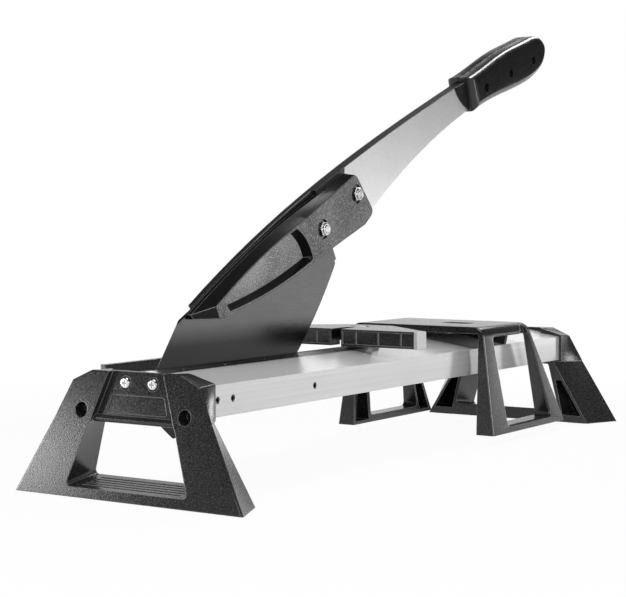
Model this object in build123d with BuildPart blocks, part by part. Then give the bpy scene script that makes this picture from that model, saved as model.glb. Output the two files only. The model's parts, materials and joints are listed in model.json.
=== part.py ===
"""Laminate flooring cutter: a lever blade swings down into a slotted beam that stands on two feet.

Millimetres, +Z up. The origin lies on the floor under the middle of the overall length. +X runs from the
blade's pivot to the handle, and the blade moves in the plane Y = 0.
"""
import os
from math import atan, cos, radians, sin, tan

from build123d import *

os.makedirs("parts", exist_ok=True)

# Driving sizes of the frame
base_length = 760.0
lever_reach = 733.7
foot_width = 250.0
foot_depth = 44.0
foot_lean = 8.8
foot_round = 1.5
pad_height = 0.8
pad_recess = 2.0
beam_width = 131.4
beam_bottom = 73.6
beam_side = 27.3
roof_rise = 10.3
beam_wall = 2.8
slot_width = 4.6
head_width = 19.0
strip_width = 14.0
strip_thickness = 4.0
strip_screw_inset = 36.0
strip_screw_pitch = 62.0

# Driving sizes of the lever
pivot_x = 57.0
pivot_drop = 23.2
pin_radius = 5.0
bush_radius = 8.0
blade_thickness = 3.4
lever_thickness = 11.5
lever_rebate = 5.5
cover_depth = 14.5
cover_wall = 4.5
handle_slope = 18.2
handle_half = 17.0
bolt_radius = 4.0
nut_flats = 13.0
nut_height = 6.5
nut_collar = 1.5
nut_sink = 3.5

# Driving sizes of the fence and the support
fence_front = 335.0
fence_height = 17.1
fence_half = 91.0
fence_gap = 12.0
cap_thickness = 4.0
support_setback = 267.0
support_base = 177.0
support_height = 115.0
support_clear = 11.3
support_shoulder = 7.0
support_leg = 21.0
support_round = 2.5

# Clearances: a bolted or pushed fit, a running fit on the radius, and a gap between sliding faces
fit = 0.1
running_fit = 0.05
sliding_gap = 0.1

# Heights and offsets that follow from them
toe_x = -(pivot_x + lever_reach) / 2
half = beam_width / 2
slot = slot_width / 2
eave_z = beam_bottom + beam_side
ridge_z = eave_z + roof_rise
roof_slope = roof_rise / half
pivot_z = ridge_z - pivot_drop
lean = radians(foot_lean)
TOP = (Align.CENTER, Align.CENTER, Align.MAX)


def side_plane(y):
    """Upright plane along the cutter: x from the near toe, y is the height, extrusions run to -Y."""
    return Plane(origin=(toe_x, y, 0), x_dir=(1, 0, 0), z_dir=(0, -1, 0))


def cross_plane(x):
    """Upright plane across the cutter: x is the side offset, y the height, extrusions run to +X."""
    return Plane(origin=(toe_x + x, 0, 0), x_dir=(0, 1, 0), z_dir=(1, 0, 0))


def top_plane(z):
    """Level plane with x from the near toe."""
    return Plane(origin=(toe_x, 0, z))


def lever_plane(y):
    """Upright plane with its origin on the pivot's axis, extrusions run to -Y."""
    return Plane(origin=(toe_x + pivot_x, y, pivot_z), x_dir=(1, 0, 0), z_dir=(0, -1, 0))


def roof_z(y):
    """Height of the beam's sloping top at a side offset."""
    return ridge_z - roof_slope * abs(y)


def roof_frame(x, y):
    """Frame on the beam's top with z square to the slope."""
    tilt = atan(roof_slope) if y > 0 else -atan(roof_slope)
    return Plane(origin=(toe_x + x, y, roof_z(y)), x_dir=(1, 0, 0), z_dir=(0, sin(tilt), cos(tilt)))


def both_sides(points):
    """Completes an outline given on one side with its mirror image."""
    return points + [(-y, z) for y, z in reversed(points)]


def blend(a, b, t):
    return a + (b - a) * t


def bowed(a, b, rise):
    """The point that lies a given rise above the middle of the line from a to b."""
    return (blend(a[0], b[0], 0.5), blend(a[1], b[1], 0.5) + rise)


def hex_radius(flats):
    """Corner radius of a hexagon from the width across its flats."""
    return flats / 2 / cos(radians(30))


def sunk_screws(frames, shaft, head, length):
    """Countersunk cross-head screws lying flush at the given frames."""
    with BuildPart() as screws:
        with Locations(*frames):
            Cylinder(shaft, length, align=TOP)
            Cone(shaft, head, (head - shaft) / tan(radians(41)), align=TOP)
            Box(head * 1.2, head * 0.22, head * 0.3, align=TOP, mode=Mode.SUBTRACT)
            Box(head * 0.22, head * 1.2, head * 0.3, align=TOP, mode=Mode.SUBTRACT)
    return screws.part


# Near foot: a leaning face with two splayed legs, a hand window, and a pocket for the beam's end behind
foot_top = ridge_z - 0.7
knee_z = beam_bottom - 2.0
cheek = half + fit + 3.7
cheek_depth = 38.0
leg_rear = half - 3.9
window_top = beam_bottom - 7.6
window_foot = 9.0
window_back = 15.0
window_floor = beam_bottom - 4.0
hollow_top = beam_bottom - 23.6
panel_recess = 6.0
panel_wall = 4.0
beam_start = (foot_top - pad_height) * tan(lean) + panel_recess / cos(lean) + panel_wall
beam_length = base_length - 2 * beam_start
port_y = 15.0
port_z = ridge_z - 10.7
port_radius = 2.5
leg_hole_y = 56.6
leg_hole_z = 75.8
leg_hole_radius = 6.75
pad_inset = 9.0
face = Plane(origin=(toe_x, 0, pad_height), x_dir=(0, 1, 0), z_dir=(cos(lean), 0, -sin(lean)))
panel = face.offset(panel_recess)


def on_face(y, z):
    """A point of the leaning face from its side offset and height above the floor."""
    return (y, (z - pad_height) / cos(lean))


def on_panel(y, z):
    """A point of the recessed panel from its side offset and height above the floor."""
    return (y, (z - pad_height + panel_recess * sin(lean)) / cos(lean))


def leg_edge(z):
    """Half width of the leaning face at a height."""
    return blend(foot_width / 2, cheek, (z - pad_height) / (eave_z + 0.3 - pad_height))


def window_edge(z):
    """Half width of the window in the leaning face at a height."""
    return blend(66.7, 46.0, (z - window_foot) / (window_top - window_foot))


def pad_corners(side):
    """Corners of the rubber pad under one leg."""
    inner = side * 76
    return [
        (pad_inset, inner),
        (pad_inset, side * (foot_width / 2 - 12)),
        (foot_depth - 5, side * (foot_width / 2 - 25)),
        (foot_depth - 5, inner),
    ]


# the splayed legs below the knee, which narrow towards the back
with BuildPart() as foot_legs:
    with BuildSketch(face):
        with BuildLine():
            Polyline(
                *both_sides([on_face(foot_width / 2, pad_height), on_face(leg_edge(knee_z), knee_z)]), close=True
            )
        make_face()
    with BuildSketch(cross_plane(foot_depth)):
        with BuildLine():
            Polyline(*both_sides([(foot_width / 2 - 19, pad_height), (leg_rear, knee_z)]), close=True)
        make_face()
    loft(ruled=True)
    rising = foot_legs.edges().filter_by(lambda e: e.bounding_box().size.Z > 1)
    fillet(rising.sort_by(Axis.X)[:2], radius=foot_round)

with BuildPart() as near_foot:
    # the head above the knee, whose cheeks hold the beam
    with BuildSketch(face):
        with BuildLine():
            Polyline(
                *both_sides([
                    on_face(leg_edge(knee_z), knee_z),
                    on_face(cheek, eave_z + 0.3),
                    on_face(cheek - 20.0, foot_top),
                ]),
                close=True,
            )
        make_face()
    with BuildSketch(cross_plane(cheek_depth)):
        with BuildLine():
            Polyline(
                *both_sides([(cheek, knee_z), (cheek, eave_z + 1.9), (cheek - 28.0, foot_top)]), close=True
            )
        make_face()
    loft(ruled=True)
    # every outer edge is rounded but those of the knee and the back
    outer = near_foot.edges().filter_by(lambda e: e.bounding_box().max.Z > knee_z + 1)
    fillet(outer.filter_by(lambda e: e.bounding_box().min.X < toe_x + cheek_depth - 1), radius=foot_round)
    add(foot_legs.part)
    # hand window, flaring towards the back
    with BuildSketch(face.offset(-2)) as window_face:
        with BuildLine():
            Polyline(
                *both_sides([
                    on_face(window_edge(window_foot), window_foot),
                    on_face(window_edge(window_top), window_top),
                ]),
                close=True,
            )
        make_face()
        fillet(window_face.vertices(), radius=4)
    with BuildSketch(cross_plane(foot_depth + 2)) as window_rear:
        with BuildLine():
            Polyline(*both_sides([(69.0, window_back), (55.5, window_floor)]), close=True)
        make_face()
        fillet(window_rear.vertices(), radius=4)
    loft(ruled=True, mode=Mode.SUBTRACT)
    # recessed panel between the legs, open at the top
    with BuildSketch(face):
        with BuildLine():
            Polyline(
                *both_sides([
                    on_face(window_edge(window_top), window_top),
                    on_face(window_edge(foot_top + 6), foot_top + 6),
                ]),
                close=True,
            )
        make_face()
    extrude(amount=panel_recess, mode=Mode.SUBTRACT)
    # pocket for the beam's end
    with BuildSketch(cross_plane(beam_start)):
        with BuildLine():
            Polyline(
                *both_sides([(half + fit, beam_bottom), (half + fit, eave_z + fit)])[:2],
                (0, ridge_z + fit),
                *both_sides([(half + fit, beam_bottom), (half + fit, eave_z + fit)])[2:],
                close=True,
            )
        make_face()
    extrude(amount=foot_depth, mode=Mode.SUBTRACT)
    with BuildSketch(top_plane(foot_top + 1)):
        with BuildLine():
            Polyline(
                (beam_start, -36), (beam_start, 36), (foot_depth + 1, 47), (foot_depth + 1, -47), close=True
            )
        make_face()
    extrude(amount=-roof_rise, mode=Mode.SUBTRACT)
    # hollow legs, open to the back
    for side in (1, -1):
        with BuildSketch(face.offset(5)):
            with BuildLine():
                Polyline(
                    on_face(side * (window_edge(window_foot) + 5), window_foot),
                    on_face(side * (leg_edge(window_foot) - 7), window_foot),
                    on_face(side * (leg_edge(hollow_top) - 5.5), hollow_top),
                    on_face(side * (window_edge(hollow_top) + 5), hollow_top),
                    close=True,
                )
            make_face()
        with BuildSketch(cross_plane(foot_depth + 1)):
            with BuildLine():
                Polyline(
                    (side * 74, window_foot),
                    (side * (foot_width / 2 - 28), window_foot),
                    (side * (cheek + 2), hollow_top),
                    (side * (cheek - 5), hollow_top),
                    close=True,
                )
            make_face()
        loft(ruled=True, mode=Mode.SUBTRACT)
    # tongue that keeps the beam's slot open
    with Locations((toe_x + beam_start - 1, 0, beam_bottom)):
        Box(4, slot_width - 2 * fit, beam_side - 4, align=(Align.MIN, Align.CENTER, Align.MIN))
    # notch under the beam for the blade's tail
    with Locations((toe_x + beam_start + 4, 0, beam_bottom)):
        Box(foot_depth, slot_width + 3, 16, align=(Align.MIN, Align.CENTER, Align.CENTER), mode=Mode.SUBTRACT)
    # rounded lip along the window's top
    lip_x = (window_top + 3.2 - pad_height) * tan(lean) + panel_recess
    with Locations((toe_x + lip_x, 0, window_top + 3.2)):
        Cylinder(3.2, 2 * window_edge(window_top + 3.2), rotation=(90, 0, 0))
    # grip grooves across the bottom bar
    for step in range(5):
        groove_x = 10.0 + 6 * step
        groove_z = blend(window_foot, window_back, groove_x / foot_depth) + 0.5
        with Locations((toe_x + groove_x, 0, groove_z)):
            Cylinder(1.5, 108, rotation=(90, 0, 0), mode=Mode.SUBTRACT)
    # bare plate on the panel
    with BuildSketch(panel) as plate:
        with BuildLine():
            Polyline(*both_sides([on_panel(33, 74.5), on_panel(28.5, 90)]), close=True)
        make_face()
        fillet(plate.vertices(), radius=1.5)
    extrude(amount=1, mode=Mode.SUBTRACT)
    # counterbored screw holes and the blind holes in the legs
    screw_seat = (port_z - pad_height) * tan(lean) + panel_recess / cos(lean) + 2
    with BuildSketch(cross_plane(0)):
        with Locations((port_y, port_z), (-port_y, port_z)):
            Circle(6)
    extrude(amount=screw_seat, mode=Mode.SUBTRACT)
    with BuildSketch(cross_plane(0)):
        with Locations((port_y, port_z), (-port_y, port_z)):
            Circle(port_radius + fit)
    extrude(amount=beam_start + 1, mode=Mode.SUBTRACT)
    with BuildSketch(cross_plane(0)):
        with Locations((leg_hole_y, leg_hole_z), (-leg_hole_y, leg_hole_z)):
            Circle(leg_hole_radius)
    extrude(amount=beam_start - 3, mode=Mode.SUBTRACT)
    # pockets in the sole for the pads
    for side in (1, -1):
        with BuildSketch(top_plane(0)) as pad_pocket:
            with BuildLine():
                Polyline(*pad_corners(side), close=True)
            make_face()
            fillet(pad_pocket.vertices(), radius=3)
        extrude(amount=pad_height + pad_recess, mode=Mode.SUBTRACT)
near_foot.part.label = "near_foot"
export_step(near_foot.part, "parts/near_foot.step")

with BuildPart() as near_foot_screws:
    with BuildSketch(cross_plane(screw_seat)):
        with Locations((port_y, port_z), (-port_y, port_z)):
            Circle(5)
    extrude(amount=-3.2)
    fillet(near_foot_screws.faces().group_by(Axis.X)[0].edges(), radius=1.4)
    with BuildSketch(cross_plane(screw_seat)):
        with Locations((port_y, port_z), (-port_y, port_z)):
            Circle(port_radius - running_fit)
    extrude(amount=beam_start - screw_seat + 14)
    with BuildSketch(cross_plane(screw_seat - 3.2)):
        with Locations((port_y, port_z), (-port_y, port_z)):
            Rectangle(5, 1)
            Rectangle(1, 5)
    extrude(amount=1.6, mode=Mode.SUBTRACT)
near_foot_screws.part.label = "near_foot_screws"
export_step(near_foot_screws.part, "parts/near_foot_screws.step")

with BuildPart() as near_foot_pads:
    for side in (1, -1):
        with BuildSketch(top_plane(0)) as pad_outline:
            with BuildLine():
                Polyline(*pad_corners(side), close=True)
            make_face()
            fillet(pad_outline.vertices(), radius=3)
        extrude(amount=pad_height + pad_recess)
near_foot_pads.part.label = "near_foot_pads"
export_step(near_foot_pads.part, "parts/near_foot_pads.step")

# The far foot is the same moulding, facing the other way
middle = cross_plane(base_length / 2)
with BuildPart() as far_foot:
    mirror(near_foot.part, about=middle)
far_foot.part.label = "far_foot"
export_step(far_foot.part, "parts/far_foot.step")

with BuildPart() as far_foot_screws:
    mirror(near_foot_screws.part, about=middle)
far_foot_screws.part.label = "far_foot_screws"
export_step(far_foot_screws.part, "parts/far_foot_screws.step")

with BuildPart() as far_foot_pads:
    mirror(near_foot_pads.part, about=middle)
far_foot_pads.part.label = "far_foot_pads"
export_step(far_foot_pads.part, "parts/far_foot_pads.step")

# Beam: two hollow extrusions with a slot between them; the front half is on -Y
web = slot + beam_wall
head_edge = slot + head_width
head_bottom = port_z - port_radius - 2
rebate = slot + strip_width + fit
fence_x = fence_front + 47
strip_start = foot_depth - 8
strip_length = fence_x - bolt_radius - 6 - strip_start
strip_screw_y = slot + strip_width / 2
strip_screw_x = [strip_start + strip_screw_inset + strip_screw_pitch * n for n in range(5)]
strip_frames = [roof_frame(x, -strip_screw_y).location for x in strip_screw_x]
strip_screw = 1.5
strip_head = 3.2
side_screw_radius = 3.0
guide_x = pivot_x + 139
side_screw_x = [pivot_x - 11, pivot_x + 11, guide_x]

with BuildPart() as beam_front_half:
    with BuildSketch(cross_plane(beam_start)):
        with BuildLine():
            Polyline(
                (-slot, beam_bottom), (-slot, roof_z(slot)), (-half, eave_z), (-half, beam_bottom), close=True
            )
        make_face()
        with BuildLine():
            Polyline(
                (-web, beam_bottom + beam_wall),
                (-web, head_bottom),
                (-head_edge, head_bottom),
                (-head_edge, roof_z(head_edge) - beam_wall),
                (-half + beam_wall, roof_z(half - beam_wall) - beam_wall),
                (-half + beam_wall, beam_bottom + beam_wall),
                close=True,
            )
        make_face(mode=Mode.SUBTRACT)
        with Locations((-port_y, port_z)):
            Circle(port_radius, mode=Mode.SUBTRACT)
    extrude(amount=beam_length)
    # rebate for the slot strip, with its screw holes
    with BuildSketch(cross_plane(strip_start - fit)):
        with BuildLine():
            Polyline(
                (0, ridge_z + 2),
                (-rebate, roof_z(rebate) + 2),
                (-rebate, roof_z(rebate) - strip_thickness),
                (0, ridge_z - strip_thickness),
                close=True,
            )
        make_face()
    extrude(amount=strip_length + 2 * fit, mode=Mode.SUBTRACT)
    with Locations(*strip_frames):
        Cylinder(strip_screw + fit, strip_thickness + 4.5, align=TOP, mode=Mode.SUBTRACT)
    # bore for the pivot pin, side screw holes, and the notch for the fence bolt
    with BuildSketch(side_plane(0)):
        with Locations((pivot_x, pivot_z)):
            Circle(pin_radius + fit)
    extrude(amount=web + 1, mode=Mode.SUBTRACT)
    with BuildSketch(side_plane(-half)):
        with Locations(*[(x, pivot_z) for x in side_screw_x]):
            Circle(side_screw_radius + fit)
    extrude(amount=-beam_wall - 1, mode=Mode.SUBTRACT)
    with BuildSketch(top_plane(beam_bottom - 1)):
        with Locations((fence_x, 0)):
            Circle(bolt_radius + fit)
    extrude(amount=beam_side + roof_rise + 2, mode=Mode.SUBTRACT)
beam_front_half.part.label = "beam_front_half"
export_step(beam_front_half.part, "parts/beam_front_half.step")

# Plank rail along the back edge of the bed, held by three screws
rail_start = foot_depth + 4
rail_end = fence_front - 5
rail_top = ridge_z + 0.8
rail_inner = half - 6.2
rail_outer = half - 0.5
rail_y = (rail_inner + rail_outer) / 2
rail_frames = [
    Plane(origin=(toe_x + blend(rail_start, rail_end, t), rail_y, rail_top)).location for t in (0.08, 0.5, 0.92)
]

with BuildPart() as beam_back_half:
    mirror(beam_front_half.part, about=Plane.XZ)
    with Locations(*rail_frames):
        Cylinder(strip_screw + fit, rail_top - eave_z + 2, align=TOP, mode=Mode.SUBTRACT)
beam_back_half.part.label = "beam_back_half"
export_step(beam_back_half.part, "parts/beam_back_half.step")

with BuildPart() as plank_rail:
    with BuildSketch(cross_plane(rail_start)):
        with BuildLine():
            Polyline(
                (rail_inner, roof_z(rail_inner)),
                (rail_outer, roof_z(rail_outer)),
                (rail_outer, rail_top),
                (rail_inner, rail_top),
                close=True,
            )
        make_face()
    extrude(amount=rail_end - rail_start)
    with Locations(*rail_frames):
        CounterSinkHole(strip_screw + fit, 2.4 + fit)
plank_rail.part.label = "plank_rail"
export_step(plank_rail.part, "parts/plank_rail.step")

with BuildPart() as rail_screws:
    add(sunk_screws(rail_frames, strip_screw, 2.4, rail_top - eave_z + 1))
rail_screws.part.label = "rail_screws"
export_step(rail_screws.part, "parts/rail_screws.step")

# Slot strips and their screws
with BuildPart() as front_slot_strip:
    with BuildSketch(cross_plane(strip_start)):
        with BuildLine():
            Polyline(
                (-slot, roof_z(slot)),
                (-rebate + fit, roof_z(rebate - fit)),
                (-rebate + fit, roof_z(rebate - fit) - strip_thickness),
                (-slot, roof_z(slot) - strip_thickness),
                close=True,
            )
        make_face()
    extrude(amount=strip_length)
    with Locations(*strip_frames):
        CounterSinkHole(strip_screw + fit, strip_head + fit)
front_slot_strip.part.label = "front_slot_strip"
export_step(front_slot_strip.part, "parts/front_slot_strip.step")

with BuildPart() as back_slot_strip:
    mirror(front_slot_strip.part, about=Plane.XZ)
back_slot_strip.part.label = "back_slot_strip"
export_step(back_slot_strip.part, "parts/back_slot_strip.step")

with BuildPart() as front_strip_screws:
    add(sunk_screws(strip_frames, strip_screw, strip_head, strip_thickness + 4))
front_strip_screws.part.label = "front_strip_screws"
export_step(front_strip_screws.part, "parts/front_strip_screws.step")

with BuildPart() as back_strip_screws:
    mirror(front_strip_screws.part, about=Plane.XZ)
back_strip_screws.part.label = "back_strip_screws"
export_step(back_strip_screws.part, "parts/back_strip_screws.step")

# Blocks inside the beam's halves: a pair carries the pivot pin, a pair stiffens the slot further along
block_bottom = beam_bottom + beam_wall
block_height = head_bottom - block_bottom - fit
block_inner = web + fit
block_outer = half - beam_wall - fit
pin_end = web + 20

with BuildPart() as front_pivot_block:
    with BuildSketch(top_plane(block_bottom)):
        with Locations((pivot_x, -(block_inner + block_outer) / 2)):
            Rectangle(34, block_outer - block_inner)
    extrude(amount=block_height)
    with BuildSketch(side_plane(-block_inner)):
        with Locations((pivot_x, pivot_z)):
            Circle(pin_radius + fit)
    extrude(amount=pin_end - block_inner + fit, mode=Mode.SUBTRACT)
    with BuildSketch(side_plane(-block_outer)):
        with Locations(*[(x, pivot_z) for x in side_screw_x[:2]]):
            Circle(side_screw_radius + fit)
    extrude(amount=-12, mode=Mode.SUBTRACT)
front_pivot_block.part.label = "front_pivot_block"
export_step(front_pivot_block.part, "parts/front_pivot_block.step")

with BuildPart() as back_pivot_block:
    mirror(front_pivot_block.part, about=Plane.XZ)
back_pivot_block.part.label = "back_pivot_block"
export_step(back_pivot_block.part, "parts/back_pivot_block.step")

with BuildPart() as front_guide_block:
    with BuildSketch(top_plane(block_bottom)):
        with Locations((guide_x, -(block_inner + block_outer) / 2)):
            Rectangle(28, block_outer - block_inner)
    extrude(amount=block_height)
    with BuildSketch(side_plane(-block_outer)):
        with Locations((guide_x, pivot_z)):
            Circle(side_screw_radius + fit)
    extrude(amount=-12, mode=Mode.SUBTRACT)
front_guide_block.part.label = "front_guide_block"
export_step(front_guide_block.part, "parts/front_guide_block.step")

with BuildPart() as back_guide_block:
    mirror(front_guide_block.part, about=Plane.XZ)
back_guide_block.part.label = "back_guide_block"
export_step(back_guide_block.part, "parts/back_guide_block.step")

with BuildPart() as front_side_screws:
    with BuildSketch(side_plane(-half + 0.6)):
        with Locations(*[(x, pivot_z) for x in side_screw_x]):
            Circle(side_screw_radius)
            RegularPolygon(hex_radius(3), 6, mode=Mode.SUBTRACT)
    extrude(amount=-3)
    with BuildSketch(side_plane(-half + 3.6)):
        with Locations(*[(x, pivot_z) for x in side_screw_x]):
            Circle(side_screw_radius)
    extrude(amount=-beam_wall - fit - 7)
front_side_screws.part.label = "front_side_screws"
export_step(front_side_screws.part, "parts/front_side_screws.step")

with BuildPart() as back_side_screws:
    mirror(front_side_screws.part, about=Plane.XZ)
back_side_screws.part.label = "back_side_screws"
export_step(back_side_screws.part, "parts/back_side_screws.step")

with BuildPart() as pivot_pin:
    with BuildSketch(lever_plane(pin_end)):
        Circle(pin_radius)
    extrude(amount=2 * pin_end)
    chamfer(pivot_pin.edges().filter_by(GeomType.CIRCLE), length=0.8)
pivot_pin.part.label = "pivot_pin"
export_step(pivot_pin.part, "parts/pivot_pin.step")

# Blade: a plate with a rounded hub on the pin and a ground edge in two straight runs
hub_corner = (-35.1, -6.7)
tail_corner = (9.5, -40.0)
edge_corner = (194.0, 12.5)
edge_end = (272.6, 105.8)
blade_shoulder = (233.8, 179.6)
blade_neck = (43.3, 75.2)
bolt_points = [(229.5, 143.0), (291.4, 177.8)]
blade_back = blade_thickness / 2
bevel_width = 3.0
bevel_land = 0.4
edge_middle = (blend(tail_corner[0], edge_corner[0], 0.5), blend(tail_corner[1], edge_corner[1], 0.5))
edge_bulge = (239.0, 60.0)

with BuildPart() as blade:
    with BuildSketch(lever_plane(blade_back)) as blade_outline:
        with BuildLine():
            Polyline(hub_corner, tail_corner, edge_corner)
            ThreePointArc(edge_corner, edge_bulge, edge_end)
            Polyline(
                edge_end, (273.9, 108.8), (272.3, 110.2), (275.4, 112.7), (268.4, 125.5), (261.0, 138.0), blade_shoulder
            )
            ThreePointArc(blade_shoulder, (140.0, 132.2), blade_neck)
            Polyline(blade_neck, (31.5, 69.0), (15.5, 60.6), hub_corner)
        make_face()
        fillet(blade_outline.vertices().sort_by_distance(hub_corner)[0], radius=24)
        fillet(blade_outline.vertices().sort_by_distance(tail_corner)[0], radius=4)
        Circle(bush_radius, mode=Mode.SUBTRACT)
        with Locations(bolt_points[0]):
            Circle(bolt_radius + fit, mode=Mode.SUBTRACT)
    extrude(amount=blade_thickness)
    # ground bevel along the cutting edge, on the lever's side
    blade_side = blade.faces().sort_by(Axis.Y)[-1]
    runs = [lever_plane(blade_back).from_local_coords(at) for at in (edge_middle, edge_bulge)]
    cutting = [blade_side.edges().sort_by_distance(at)[0] for at in runs]
    chamfer(cutting, length=bevel_width, length2=blade_thickness - bevel_land, reference=blade_side)
blade.part.label = "blade"
export_step(blade.part, "parts/blade.step")

with BuildPart() as pivot_bush:
    with BuildSketch(lever_plane(blade_back)):
        Circle(bush_radius)
        Circle(pin_radius + running_fit, mode=Mode.SUBTRACT)
    extrude(amount=blade_thickness)
pivot_bush.part.label = "pivot_bush"
export_step(pivot_bush.part, "parts/pivot_bush.step")

washer_thickness = slot - blade_back - 2 * sliding_gap
with BuildPart() as blade_washers:
    with BuildSketch(lever_plane(-blade_back)):
        Circle(bush_radius + 5)
        Circle(pin_radius + running_fit, mode=Mode.SUBTRACT)
    extrude(amount=washer_thickness)
    mirror(about=Plane.XZ)
blade_washers.part.label = "blade_washers"
export_step(blade_washers.part, "parts/blade_washers.step")

# Handle frame: its origin is the middle screw, x runs along the grip
lever_back = blade_back + lever_thickness - lever_rebate
lever_front = lever_back - lever_thickness
grip_x = lever_reach - 98.8
grip_z = 323.0
grip_y = (lever_back + lever_front) / 2
grip_screws = [-65.2, 0.0, 63.2]
tang_thickness = 6.0


def handle_plane(y):
    """Upright plane along the grip, extrusions run to -Y."""
    slope = radians(handle_slope)
    return Plane(
        origin=(toe_x + pivot_x + grip_x, y, pivot_z + grip_z), x_dir=(cos(slope), 0, sin(slope)), z_dir=(0, -1, 0)
    )


# Lever bar: a thick flat bar, rebated to seat the blade, that bows over it and runs up into the handle
lever_toe = (43.3, 75.9)
lever_brow = (140.0, 133.2)
lever_bend = (256.0, 190.8)
lever_top_end = (grip_x - 81.4, grip_z - 10.8)
lever_low_end = (grip_x - 68.2, grip_z - 41.0)
lever_heel = (349.0, 168.0)
step_top = (217.7, 205.2)
step_foot = (285.1, 106.0)
top_bow = 2.7
low_bow = 8.2
edge_break = 0.4

with BuildPart() as lever_bar:
    with BuildSketch(lever_plane(lever_back)):
        with BuildLine():
            Spline(lever_toe, lever_brow, lever_bend, bowed(lever_bend, lever_top_end, top_bow), lever_top_end)
            Line(lever_top_end, lever_low_end)
            ThreePointArc(lever_low_end, bowed(lever_low_end, lever_heel, low_bow), lever_heel)
            Polyline(lever_heel, (243.0, 117.0), (55.0, 62.0), lever_toe)
        make_face()
    extrude(amount=lever_thickness)
    # rebate for the blade, up to a step across the bar under the cover
    with BuildSketch(lever_plane(blade_back)):
        with BuildLine():
            Polyline(step_top, step_foot, (step_foot[0], 0), (0, 0), (0, step_top[1]), close=True)
        make_face()
    extrude(amount=lever_rebate + 1, mode=Mode.SUBTRACT)
    # broken edges along both faces
    broad = lever_bar.faces().filter_by(Axis.Y).sort_by(Axis.Y)
    chamfer(broad[0].edges() + broad[-1].edges(), length=edge_break)
    # bolt holes, and the tang inside the handle with its screw holes
    with BuildSketch(lever_plane(lever_back)):
        with Locations(*bolt_points):
            Circle(bolt_radius + fit)
    extrude(amount=lever_thickness, mode=Mode.SUBTRACT)
    with BuildSketch(handle_plane(grip_y + tang_thickness / 2)):
        with Locations((-6, 0)):
            Rectangle(156, 22)
    extrude(amount=tang_thickness)
    with BuildSketch(handle_plane(lever_back)):
        with Locations(*[(s, 0) for s in grip_screws]):
            Circle(2.5 + fit)
    extrude(amount=lever_thickness, mode=Mode.SUBTRACT)
lever_bar.part.label = "lever_bar"
export_step(lever_bar.part, "parts/lever_bar.step")

# Blade cover: a moulding with an upright wall, a bevelled top and a three-sided pocket, on the front of the blade
cover_seat = -blade_back
cover_face = cover_seat - cover_depth
nut_seat = cover_face + nut_sink
wall_low = [(33.0, 64.2), (73.0, 62.7), (160.0, 89.5), (252.5, 124.9)]
wall_end = [(309.2, 146.4), (326.5, 160.0), (293.0, 196.5)]
wall_top = [(285.0, 198.5), (190.0, 156.5), (110.0, 116.5), (30.0, 68.6)]
face_low = [(59.5, 63.8), (73.0, 65.6), (160.0, 91.2), (252.0, 125.9)]
face_end = [(308.5, 147.2), (325.4, 160.1), (292.0, 196.0)]
face_top = [(287.5, 196.9), (200.0, 153.8), (125.0, 118.3), (53.5, 75.0)]
end_round = 6.0
rim_round = 0.6


def cover_outline(low, end, top):
    """Draws the cover's lower edge, its right end, and its top edge back to the left end."""
    Line(low[0], low[1])
    ThreePointArc(low[1], low[2], low[3])
    Polyline(low[3], *end, top[0], top[1])
    ThreePointArc(top[1], top[2], top[3])
    Line(top[3], low[0])


with BuildPart() as blade_cover:
    with BuildSketch(lever_plane(cover_seat)) as seat_outline:
        with BuildLine():
            cover_outline(wall_low, wall_end, wall_top)
        make_face()
        for corner in wall_end:
            fillet(seat_outline.vertices().sort_by_distance(corner)[0], radius=end_round)
    extrude(amount=cover_wall)
    with BuildSketch(lever_plane(cover_seat - cover_wall)) as wall_outline:
        with BuildLine():
            cover_outline(wall_low, wall_end, wall_top)
        make_face()
        for corner in wall_end:
            fillet(wall_outline.vertices().sort_by_distance(corner)[0], radius=end_round)
    with BuildSketch(lever_plane(cover_face)) as face_outline:
        with BuildLine():
            cover_outline(face_low, face_end, face_top)
        make_face()
        for corner in face_end:
            fillet(face_outline.vertices().sort_by_distance(corner)[0], radius=end_round)
    loft(ruled=True)
    fillet(blade_cover.faces().sort_by(Axis.Y)[0].edges(), radius=rim_round)
    # pocket with sloping sides
    with BuildSketch(lever_plane(cover_face)) as pocket:
        with BuildLine():
            ThreePointArc((74.5, 69.4), (150.0, 89.4), (212.5, 113.6))
            ThreePointArc((212.5, 113.6), (203.5, 129.5), (183.5, 143.8))
            ThreePointArc((183.5, 143.8), (125.0, 116.2), (66.5, 80.4))
            Line((66.5, 80.4), (74.5, 69.4))
        make_face()
        fillet(pocket.vertices().sort_by_distance((212.5, 113.6))[0], radius=3)
    extrude(amount=-10, taper=20, mode=Mode.SUBTRACT)
    # seat on the lever's full thickness beyond the blade's end
    add(lever_bar.part, mode=Mode.SUBTRACT)
    # bolt holes and the counterbores for the nuts
    with BuildSketch(lever_plane(cover_seat)):
        with Locations(*bolt_points):
            Circle(bolt_radius + fit)
    extrude(amount=cover_depth, mode=Mode.SUBTRACT)
    with BuildSketch(lever_plane(nut_seat)):
        with Locations(*bolt_points):
            Circle(nut_flats * 0.77)
    extrude(amount=nut_sink, mode=Mode.SUBTRACT)
blade_cover.part.label = "blade_cover"
export_step(blade_cover.part, "parts/blade_cover.step")

with BuildPart() as lever_bolts:
    with BuildSketch(lever_plane(lever_back + 5.3)):
        with Locations(*bolt_points):
            RegularPolygon(hex_radius(nut_flats), 6)
    extrude(amount=5.3)
    with BuildSketch(lever_plane(lever_back)):
        with Locations(*bolt_points):
            Circle(bolt_radius)
    extrude(amount=lever_back - nut_seat + nut_height + nut_collar + 0.4)
    chamfer(lever_bolts.faces().group_by(Axis.Y)[0].edges(), length=0.7)
lever_bolts.part.label = "lever_bolts"
export_step(lever_bolts.part, "parts/lever_bolts.step")

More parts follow.
